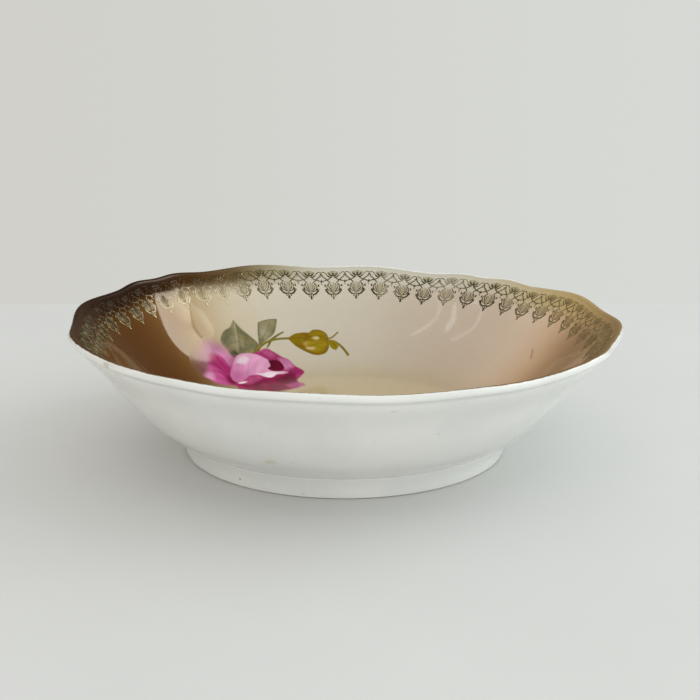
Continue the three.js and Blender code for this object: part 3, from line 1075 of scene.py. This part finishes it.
def back_petals(c):
    """The hazy petals at the left and the loose magenta ones before them."""
    c.group = "bloom"
    c.petal([
        (-58.5, -4), (-57, 3), (-53, 7.6), (-49, 10.8), (-45.6, 10.4), (-43, 7), (-41.6, 1),
        (-44, -6), (-55, -9),
    ], (140, 80, 96), 4.0, 0.72, (186, 118, 148), ((-56, -2), (-46, 7)))
    c.petal([
        (-53, 2), (-50.6, 8), (-47.6, 10.6), (-44.4, 8), (-43, 3), (-46, 1),
    ], (184, 112, 152), 2.6, 0.8)
    c.petal([
        (-57.4, -7), (-55, -3.6), (-52.4, -1), (-50, 3.6), (-47.6, 4.4), (-45, 2), (-42.6, 1),
        (-41, -2), (-42.6, -6), (-45.5, -12), (-47.6, -16), (-50, -18.4), (-53.4, -16.4),
        (-56.4, -13.4),
    ], (176, 52, 116), 1.6, 1.0, (206, 104, 158), ((-49.5, -12), (-57.5, -7)))
    c.petal([
        (-46.6, 5.4), (-44, 6.4), (-41.8, 1), (-42.2, -4), (-45, -4),
    ], (206, 130, 170), 1.6, 0.75)
    c.petal([
        (-52, 0), (-50.4, 4), (-47.6, 4.4), (-45.2, 0), (-46.8, -6), (-49.6, -5),
    ], (176, 44, 108), 1.2, 0.8)
    for start, bend, end, shade in (
        ((-50.8, -15), (-50.2, -8), (-52.4, -4.4), (140, 18, 70)),
        ((-50, -13.5), (-48.6, -6.5), (-50, -0.5), (138, 16, 70)),
        ((-48.6, -12), (-46.8, -4.6), (-47.4, 1.6), (150, 18, 82)),
        ((-47.2, -10), (-45.2, -4), (-45.6, 1.2), (160, 30, 92)),
        ((-53.4, -15), (-54.4, -10), (-55.4, -8), (200, 92, 146)),
    ):
        c.stroke([start, bend, end], shade, 1.5, 0.55, 0.72, 0.5)
    c.petal([
        (-51.5, -14), (-49.4, -11), (-47.8, -13), (-48.6, -17.4), (-51, -18),
    ], (120, 14, 58), 1.4, 0.8)
    c.petal([(-58, -6), (-55.2, -4.6), (-53.6, -6.4), (-56, -9.4)], (226, 158, 194), 1.5, 0.8)
    c.hatch((-49.5, -17), 0.84, 1.14, 7, 18.0)


def bloom_base(c):
    """The body of the rose and its right-hand petals."""
    c.group = "bloom"
    c.petal([
        (-36, -0.4), (-33, 0), (-30, 0.4), (-28.4, 1.5), (-27.2, 1.4), (-25.4, -0.8), (-23.2, -4.2),
        (-21.2, -6.6), (-20, -10.6), (-18.8, -13), (-17.6, -15), (-17.2, -17), (-18, -19),
        (-20, -21.6), (-22.6, -24.6), (-22.6, -27.6), (-23, -30.2), (-25, -32.6), (-29, -33.4),
        (-38, -33.2), (-47, -31.5), (-51.4, -22), (-49.2, -16), (-46, -12), (-40, -6),
    ], (168, 48, 102), 0.6)
    c.petal([
        (-33.4, -0.8), (-28, 2), (-25.6, -1.4), (-23.6, -4.8), (-27, -5.4), (-31, -4),
    ], (166, 50, 104), 0.8, 0.9)
    c.petal([(-29.4, -0.4), (-27.2, 1), (-25.6, -2.4), (-27.4, -4)], (202, 96, 150), 1.2, 0.65)
    c.petal([
        (-24.8, -5), (-21.6, -6.4), (-20.2, -11), (-21.6, -14), (-24.6, -13),
    ], (198, 122, 164), 1.3, 0.9)
    c.petal([
        (-22.4, -12.6), (-19.6, -13.6), (-17.2, -16.6), (-18.8, -18.8), (-23, -18.6),
    ], (152, 40, 96), 0.9, 0.85)
    c.petal([
        (-48, -18), (-38, -17), (-30, -19), (-23, -18), (-23, -26), (-28, -33), (-47, -33),
    ], (122, 4, 60), 2.2, 0.92)
    c.petal([
        (-31, -19.6), (-26.4, -18.4), (-21.6, -19.6), (-23.8, -24.8), (-28, -27), (-32, -25),
    ], (104, 6, 46), 1.8, 0.75)
    c.petal([
        (-30, -28.4), (-25, -26.6), (-21, -28), (-21, -31.6), (-28, -33),
    ], (178, 80, 136), 1.2, 0.85)
    c.petal([
        (-46.4, -15.6), (-40, -14.6), (-35, -16.2), (-40, -19.6), (-46, -20),
    ], (196, 84, 136), 1.4, 0.7)
    c.petal([(-49.8, -19), (-47.4, -18), (-44, -22), (-46, -25)], (130, 22, 64), 1.2, 0.6)
    c.hatch((-36, -8), 0.82, 1.14, 11, 22.0)
    c.petal([
        (-48.4, -16.7), (-46, -16.8), (-44, -17.8), (-46.2, -18.5), (-48.2, -17.9),
    ], (238, 212, 222), 0.3, 0.95)


def middle_petal(c):
    """The big pale petal, the dark heart beside it and the white turn below."""
    c.group = "bloom"
    c.petal([
        (-48.8, -13.6), (-47.2, -9.6), (-44.4, -6), (-41.6, -2.2), (-39.4, 0.4), (-36.4, 0.9),
        (-32.6, -0.6), (-29.8, -3.8), (-28.5, -6.4), (-29.2, -9.4), (-31, -11.4), (-30.2, -13.8),
        (-33, -15.4), (-37, -14.4), (-40, -13.8), (-43, -15.4), (-46, -16.4), (-48.4, -15.8),
    ], (204, 118, 164), 0.6, 1.0, (222, 156, 190), ((-45, -14), (-35, -3)))
    c.petal([(-48, -13), (-45, -9), (-42.6, -11), (-45.6, -15)], (186, 92, 146), 1.8, 0.6)
    c.petal([
        (-41.2, -3.4), (-39.2, -1.2), (-36.6, -0.8), (-35.8, -3), (-38.6, -5.4),
    ], (240, 214, 226), 1.0, 0.9)
    c.petal([(-40, -8), (-35, -5), (-31, -5.6), (-32, -9), (-37, -11)], (220, 150, 186), 2.4, 0.6)
    for start, bend, end in (
        ((-44, -13), (-41.4, -9), (-39, -5)),
        ((-41, -13), (-38.6, -9), (-36, -4.6)),
        ((-38, -13), (-35.4, -9), (-33, -5)),
        ((-46, -13.6), (-44, -10), (-42, -7)),
    ):
        c.stroke([start, bend, end], (190, 104, 152), 0.5, 0.6, 0.4)
    c.petal([
        (-28.9, -5.6), (-27, -5.8), (-25, -6.8), (-24.2, -9.6), (-24.4, -12.4), (-26.4, -14.4),
        (-29, -13.4), (-30.8, -11), (-29.2, -9.6),
    ], (94, 4, 38), 0.5)
    c.petal([(-25.6, -15.4), (-22, -16.4), (-21.4, -19), (-25, -21)], (112, 16, 56), 1.1, 0.7)
    c.petal([
        (-36.9, -13.2), (-34, -13.9), (-30.4, -13.6), (-28.4, -14.4), (-25.6, -14.8),
        (-23.6, -16.2), (-26.2, -17), (-29, -16.6), (-31, -18), (-33.2, -18.3), (-35, -16.6),
    ], (240, 216, 226), 0.45, 1.0, (214, 140, 172), ((-30, -16), (-24, -16.4)))
    c.hatch((-50, -26), 0.93, 1.06, 5, 40.0)


def bud(c):
    c.group = "bud"
    c.petal([
        (-19.2, 6.6), (-16.6, 9.2), (-13.4, 9.9), (-12, 9.5), (-10.4, 11.3), (-8, 11.1), (-6.2, 9),
        (-5.5, 5.6), (-5.5, 0), (-7, -3.8), (-9.4, -5), (-11.9, -4.3), (-14.7, -1.6), (-17.1, 1.6),
    ], (130, 99, 0), 0.4)
    c.petal([
        (-19, 6.6), (-16.6, 8.4), (-13.6, 8.6), (-14, 3.4), (-16.8, 3),
    ], (140, 116, 4), 1.0, 0.6)
    c.petal([
        (-12, 9), (-9.6, 10.8), (-7, 9.4), (-6, 6.4), (-8, 7.6), (-11, 7),
    ], (146, 126, 2), 0.8, 0.7)
    c.petal([
        (-12.6, 5), (-8.4, 5.4), (-6, 3), (-8, -2), (-11.4, -2.6), (-14, 1),
    ], (170, 148, 20), 1.4, 0.6)
    for points in (
        [(-18.6, 6.2), (-14, 6.6), (-10.6, 4.2), (-6, 4.8)],
        [(-17, 2.6), (-13.6, 0.6), (-10, 2.2), (-6.2, 3.4)],
        [(-14.8, -1), (-11, -3.6), (-7.4, -3)],
        [(-12.2, 9.4), (-11.6, 7), (-9.4, 7.6), (-6.4, 7.6)],
        [(-13.4, 9.2), (-12.8, 6.8), (-13.4, 4.6)],
    ):
        c.stroke(points, (116, 92, 0), 0.55, 0.4, 0.65)
    c.petal([(-11, 6.2), (-9.8, 7), (-8.6, 6.2), (-9.6, 5)], (214, 200, 140), 0.6, 0.9)
    c.petal([
        (-13.6, 0.6), (-12, 0.4), (-10.4, 0), (-11.4, -1.2), (-13.2, -0.8),
    ], (214, 182, 130), 0.6, 0.85)
    c.petal([(-14.4, 3.4), (-13, 4), (-12.6, 2.2), (-14, 1.8)], (192, 152, 84), 0.7, 0.7)
    c.hatch((-20, 6), 0.88, 1.12, 17, 34.0)


def tendril(c):
    c.group = "tendril"
    c.stroke([(-6.2, 5.6), (-4.4, 6.2), (-2.4, 9.4)], (132, 112, 10), 1.1, 0.3, 1.0, 0.9)
    c.stroke([(-5.8, 4.4), (-3.2, 3.2), (-0.8, -0.6), (1.1, -5)], (124, 104, 2), 1.2, 0.3, 1.0, 1.7)
    c.group = "nub"
    c.petal([
        (-5.8, 4.4), (-4, 4.4), (-2.6, 2.6), (-2.3, 0.2), (-3.2, -1.8), (-4.4, -1.2), (-5.2, 0.6),
    ], (142, 122, 4), 0.35)
    c.stroke([(-5.2, 3.2), (-3.6, 1.6), (-3.2, -0.8)], (112, 92, 0), 0.5, 0.35, 0.7)


def spray_skin(name, group, box, top, soften, cell, tree, lining, material):
    """One painted piece of the spray: a thin closed skin cut to its own outline and draped."""
    (left, right), (bottom, upper) = box
    columns = int(round((right - left) * DEGREE_WIDTH * MM / cell)) + 1
    rows = int(round((upper - bottom) * MM / cell)) + 1
    degrees, rise = np.meshgrid(np.linspace(left, right, columns), np.linspace(bottom, upper, rows))
    canvas = Canvas(degrees.ravel(), rise.ravel(), group)
    paint_spray(canvas)
    inside = (canvas.own > 0.04).reshape(rows, columns)
    cells = inside[:-1, :-1] | inside[1:, :-1] | inside[:-1, 1:] | inside[1:, 1:]
    cells[[0, -1]] = False
    cells[:, [0, -1]] = False
    up = SPRAY_LINE + rise * MM * np.where(rise < 0, LOWER_STRETCH, 1.0)
    flat_x = np.radians(degrees) * FLAT_RADIUS
    rim = rim_share(cells, soften)
    height = SPRAY_UNDER + (top - SPRAY_UNDER) * rim
    points = np.stack([flat_x, up, height], -1).reshape(-1, 3)
    below = points.copy()
    below[:, 2] = SPRAY_UNDER - SPRAY_EDGE
    faces = skin_faces(cells, rows, columns)
    used = np.unique(np.array(faces))
    renumber = np.full(2 * rows * columns, -1)
    renumber[used] = np.arange(len(used))
    both = np.vstack([points, below])[used]
    tint = np.c_[canvas.colour, canvas.cover]
    tint = np.vstack([tint, tint])[used]
    mesh = bpy.data.meshes.new(name + "_flat")
    mesh.from_pydata(both.tolist(), [], renumber[np.array(faces)].tolist())
    layer = mesh.color_attributes.new("tint", "FLOAT_COLOR", "POINT")
    layer.data.foreach_set("color", tint.astype("f").ravel())
    return grown(name, mesh, tree, {"Lining": lining, "Material": material})


def rim_share(cells, soften):
    """0 at the outline, rising smoothly to 1 at the given number of cells inside it."""
    rows, columns = cells.shape[0] + 1, cells.shape[1] + 1
    inside = np.ones((rows, columns), bool)
    padded = np.pad(cells, 1)
    for a in (0, 1):
        for b in (0, 1):
            inside &= padded[a:a + rows, b:b + columns]
    depth = np.zeros((rows, columns))
    for _ in range(soften):
        depth += inside
        wide = np.pad(inside, 1)
        inside = inside & wide[2:, 1:-1] & wide[:-2, 1:-1] & wide[1:-1, 2:] & wide[1:-1, :-2]
    share = depth / soften
    for _ in range(soften):
        wide = np.pad(share, 1, mode="edge")
        near = wide[2:, 1:-1] + wide[:-2, 1:-1] + wide[1:-1, 2:] + wide[1:-1, :-2]
        share = np.minimum((share + near / 4) / 2, depth > 0)
    return share


def skin_faces(cells, rows, columns):
    """Top, underside and the narrow wall between them, for the chosen cells of a grid."""
    j, i = np.nonzero(cells)
    a = j * columns + i
    quads = np.stack([a, a + 1, a + columns + 1, a + columns], 1)
    drop = rows * columns
    faces = [*map(tuple, quads), *map(tuple, quads[:, ::-1] + drop)]
    padded = np.pad(cells, 1)
    for dj, di, first, second in ((-1, 0, 0, 1), (1, 0, 2, 3), (0, 1, 1, 2), (0, -1, 3, 0)):
        open_side = ~padded[j + 1 + dj, i + 1 + di]
        p, q = quads[open_side, first], quads[open_side, second]
        faces += list(map(tuple, np.stack([p, p + drop, q + drop, q], 1)))
    return faces


# ---------------------------------------------------------------- table, light and camera


TABLE_EDGE = 0.292
TABLE_REACH = 4
WINDOW_HAZE = (1.3, 1.2, 1.05, 1.0)
WALL_LIGHT_LEFT = (0.88, 0.85, 0.80, 1.0)
WALL_LIGHT_RIGHT = (1.02, 1.06, 1.08, 1.0)
CAMERA_LENS = 65.9
CAMERA_PLACE = (0, -0.578, 0.199)
CAMERA_DOWN = 14.94  # degrees
CAMERA_ASIDE = -0.23


def pale_table():
    """A plain pale table whose far edge lies a little way behind the bowl."""
    mesh = bpy.data.meshes.new("table_top")
    far = TABLE_REACH
    corners = [(-far, -far, 0), (far, -far, 0), (far, TABLE_EDGE, 0), (-far, TABLE_EDGE, 0)]
    mesh.from_pydata(corners, [], [(0, 1, 2, 3)])
    floor = bpy.data.objects.new("table_top", mesh)
    bpy.context.scene.collection.objects.link(floor)
    material, build, shader, coordinates = new_material("pale_table")
    clouds = noise(build, coordinates, 9.0, 5.0)
    colour = mix(build, clouds, paint(208, 208, 206), paint(216, 216, 214))
    build.join(colour, shader.inputs["Base Color"])
    shader.inputs["Roughness"].default_value = 0.75
    floor.data.materials.append(material)


def window(name, side_on, low, high, radiance, tint=(1, 1, 1), mirrored_only=True, distance=1.6):
    """An upright light between two directions and two elevations from the bowl, in degrees. It
    shows either in polished surfaces only or as plain light only."""
    a = math.radians(sum(side_on) / 2)
    bottom, top = (distance * math.tan(math.radians(e)) for e in (low, high))
    light = bpy.data.lights.new(name, "AREA")
    light.shape = "RECTANGLE"
    light.size = 2 * distance * math.tan(math.radians(side_on[1] - side_on[0]) / 2)
    light.size_y = top - bottom
    light.energy = radiance * math.pi * light.size * light.size_y
    light.color = tint
    lamp = bpy.data.objects.new(name, light)
    lamp.location = (distance * math.sin(a), distance * math.cos(a), (bottom + top) / 2)
    lamp.rotation_euler = (math.pi / 2, 0, math.pi - a)
    lamp.visible_diffuse = not mirrored_only
    lamp.visible_glossy = mirrored_only
    bpy.context.scene.collection.objects.link(lamp)


def soft_room():
    """Pale walls all round. Polished surfaces see them dimmer than they light the table, as they
    would with flagged studio lamps, and the ceiling is dimmest."""
    world = bpy.data.worlds.new("soft_room")
    world.use_nodes = True
    bpy.context.scene.world = world
    build = Tree(world.node_tree)
    back = next(n for n in world.node_tree.nodes if n.type == "BACKGROUND")
    x, y, z = build.split(build.add("ShaderNodeTexCoord").outputs["Generated"])
    path = build.add("ShaderNodeLightPath")
    seen = mix(build, build.fade(x, -0.3, 0.3), paint(209, 208, 203), paint(215, 217, 212))
    lit = mix(build, build.fade(x, -0.8, 0.8), WALL_LIGHT_LEFT, WALL_LIGHT_RIGHT)
    polished = mix(build, build.fade(z, 0.2, 0.6), paint(104, 99, 86), paint(74, 71, 61))
    side_on = build.times(build.way_round(x, y), 180 / math.pi)
    haze = build.band(side_on, 78.0, 84.0, 84.0, 128.0)
    haze = build.times(haze, build.band(z, 0.3, 0.5, 0.66, 0.76))
    polished = mix(build, haze, polished, WINDOW_HAZE)
    tone = mix(build, path.outputs["Is Glossy Ray"], lit, polished)
    tone = mix(build, path.outputs["Is Camera Ray"], tone, seen)
    build.join(tone, back.inputs["Color"])
    back.inputs["Strength"].default_value = 1.0


def camera():
    data = bpy.data.cameras.new("camera")
    data.lens = CAMERA_LENS
    data.sensor_width = 36
    seat = bpy.data.objects.new("camera", data)
    seat.location = CAMERA_PLACE
    seat.rotation_euler = (math.radians(90 - CAMERA_DOWN), 0, math.radians(CAMERA_ASIDE))
    bpy.context.scene.collection.objects.link(seat)
    bpy.context.scene.camera = seat


# ---------------------------------------------------------------- putting it together


def show(piece, slot, *nodes):
    """A finished piece takes the place of its plain nodes. Its slot is not used."""
    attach(piece, "root")
    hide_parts(*nodes)


press = press_group()
turning = turning_tree(press)
laying = laying_group()
draping = draping_tree(laying, press)
border = border_tree(laying, press)
sprayed_and_painted_light = ground_group()
lining_line = bpy.data.objects.new("lining_line", outline_mesh("lining_line", LINING))
bpy.context.scene.collection.objects.link(lining_line)

show(porcelain_shell(turning, porcelain_glaze()), "porcelain_glaze", "bowl_body")
show(foot_ring_glazed(turning, foot_glaze()), "foot_glaze", "foot_ring")
show(ground_lining(turning, ground_colour(sprayed_and_painted_light)), "ground_colour", "ground_enamel")

gold = fired_gold(sprayed_and_painted_light)
motif = lace_motif()
for strip in range(STRIPS):
    lace = lace_border(strip, motif, border, lining_line, gold)
    show(lace, "fired_gold", f"lace_strip_{strip + 1}")

# Each piece of the spray: its node, painted group, slot, box in degrees and millimetres, layer, the
# size of its grid's cells and how many of them its edge takes to rise.
SPRAY = [
    ("rose_bloom", "bloom", "rose_pink", ((-64, -14), (-36, 17)), "bloom", 0.3, 5),
    ("rose_leaf_long", "leaf_long", "leaf_green", ((-44.5, -28), (-4, 23)), "leaf", 0.3, 3),
    ("rose_leaf_short", "leaf_short", "leaf_green", ((-31, -20), (1, 21)), "leaf", 0.3, 3),
    ("rose_stem", "stem", "stem_olive", ((-35, -17), (-3, 13)), "stem", 0.22, 2),
    ("rose_bud", "bud", "bud_olive", ((-21, -4), (-7, 13)), "leaf", 0.25, 3),
    ("rose_tendril", "tendril", "stem_olive", ((-8, 3), (-8, 12)), "stem", 0.2, 2),
    ("rose_small_bud", "nub", "bud_olive", ((-7, -1), (-4, 7)), "bloom", 0.2, 2),
]
PRINT_ROUGHNESS = {"rose_pink": 0.10, "leaf_green": 0.14, "stem_olive": 0.14, "bud_olive": 0.12}
prints = {
    slot: transfer_print(slot, sprayed_and_painted_light, roughness)
    for slot, roughness in PRINT_ROUGHNESS.items()
}
for node, group, slot, box, layer, cell, soften in SPRAY:
    skin = spray_skin(
        node + "_print", group, box, SPRAY_TOP[layer], soften, cell * MM, draping, lining_line,
        prints[slot],
    )
    show(skin, slot, node)

bpy.data.objects.remove(lining_line)

pale_table()
soft_room()
window("window_first_pane", (52, 67.0), 24, 46, 5.2, (1, 0.93, 0.78))
window("window_second_pane", (68.5, 84), 24, 46, 1.9, (1, 0.93, 0.80))
window("small_window", (-92, -87), 43, 57, 2.2)
window("small_window_beside", (-111, -107), 58, 66, 1.7)
window("small_window_far", (-81, -78.5), 48, 56, 1.5)
window("daylight", (50, 106), 5, 52, 1.25, (0.88, 1, 1), mirrored_only=False)
window("front_fill", (140, 210), 2, 32, 0.45, (0.98, 1, 1), mirrored_only=False)
camera()
bpy.context.scene.view_settings.view_transform = "Standard"
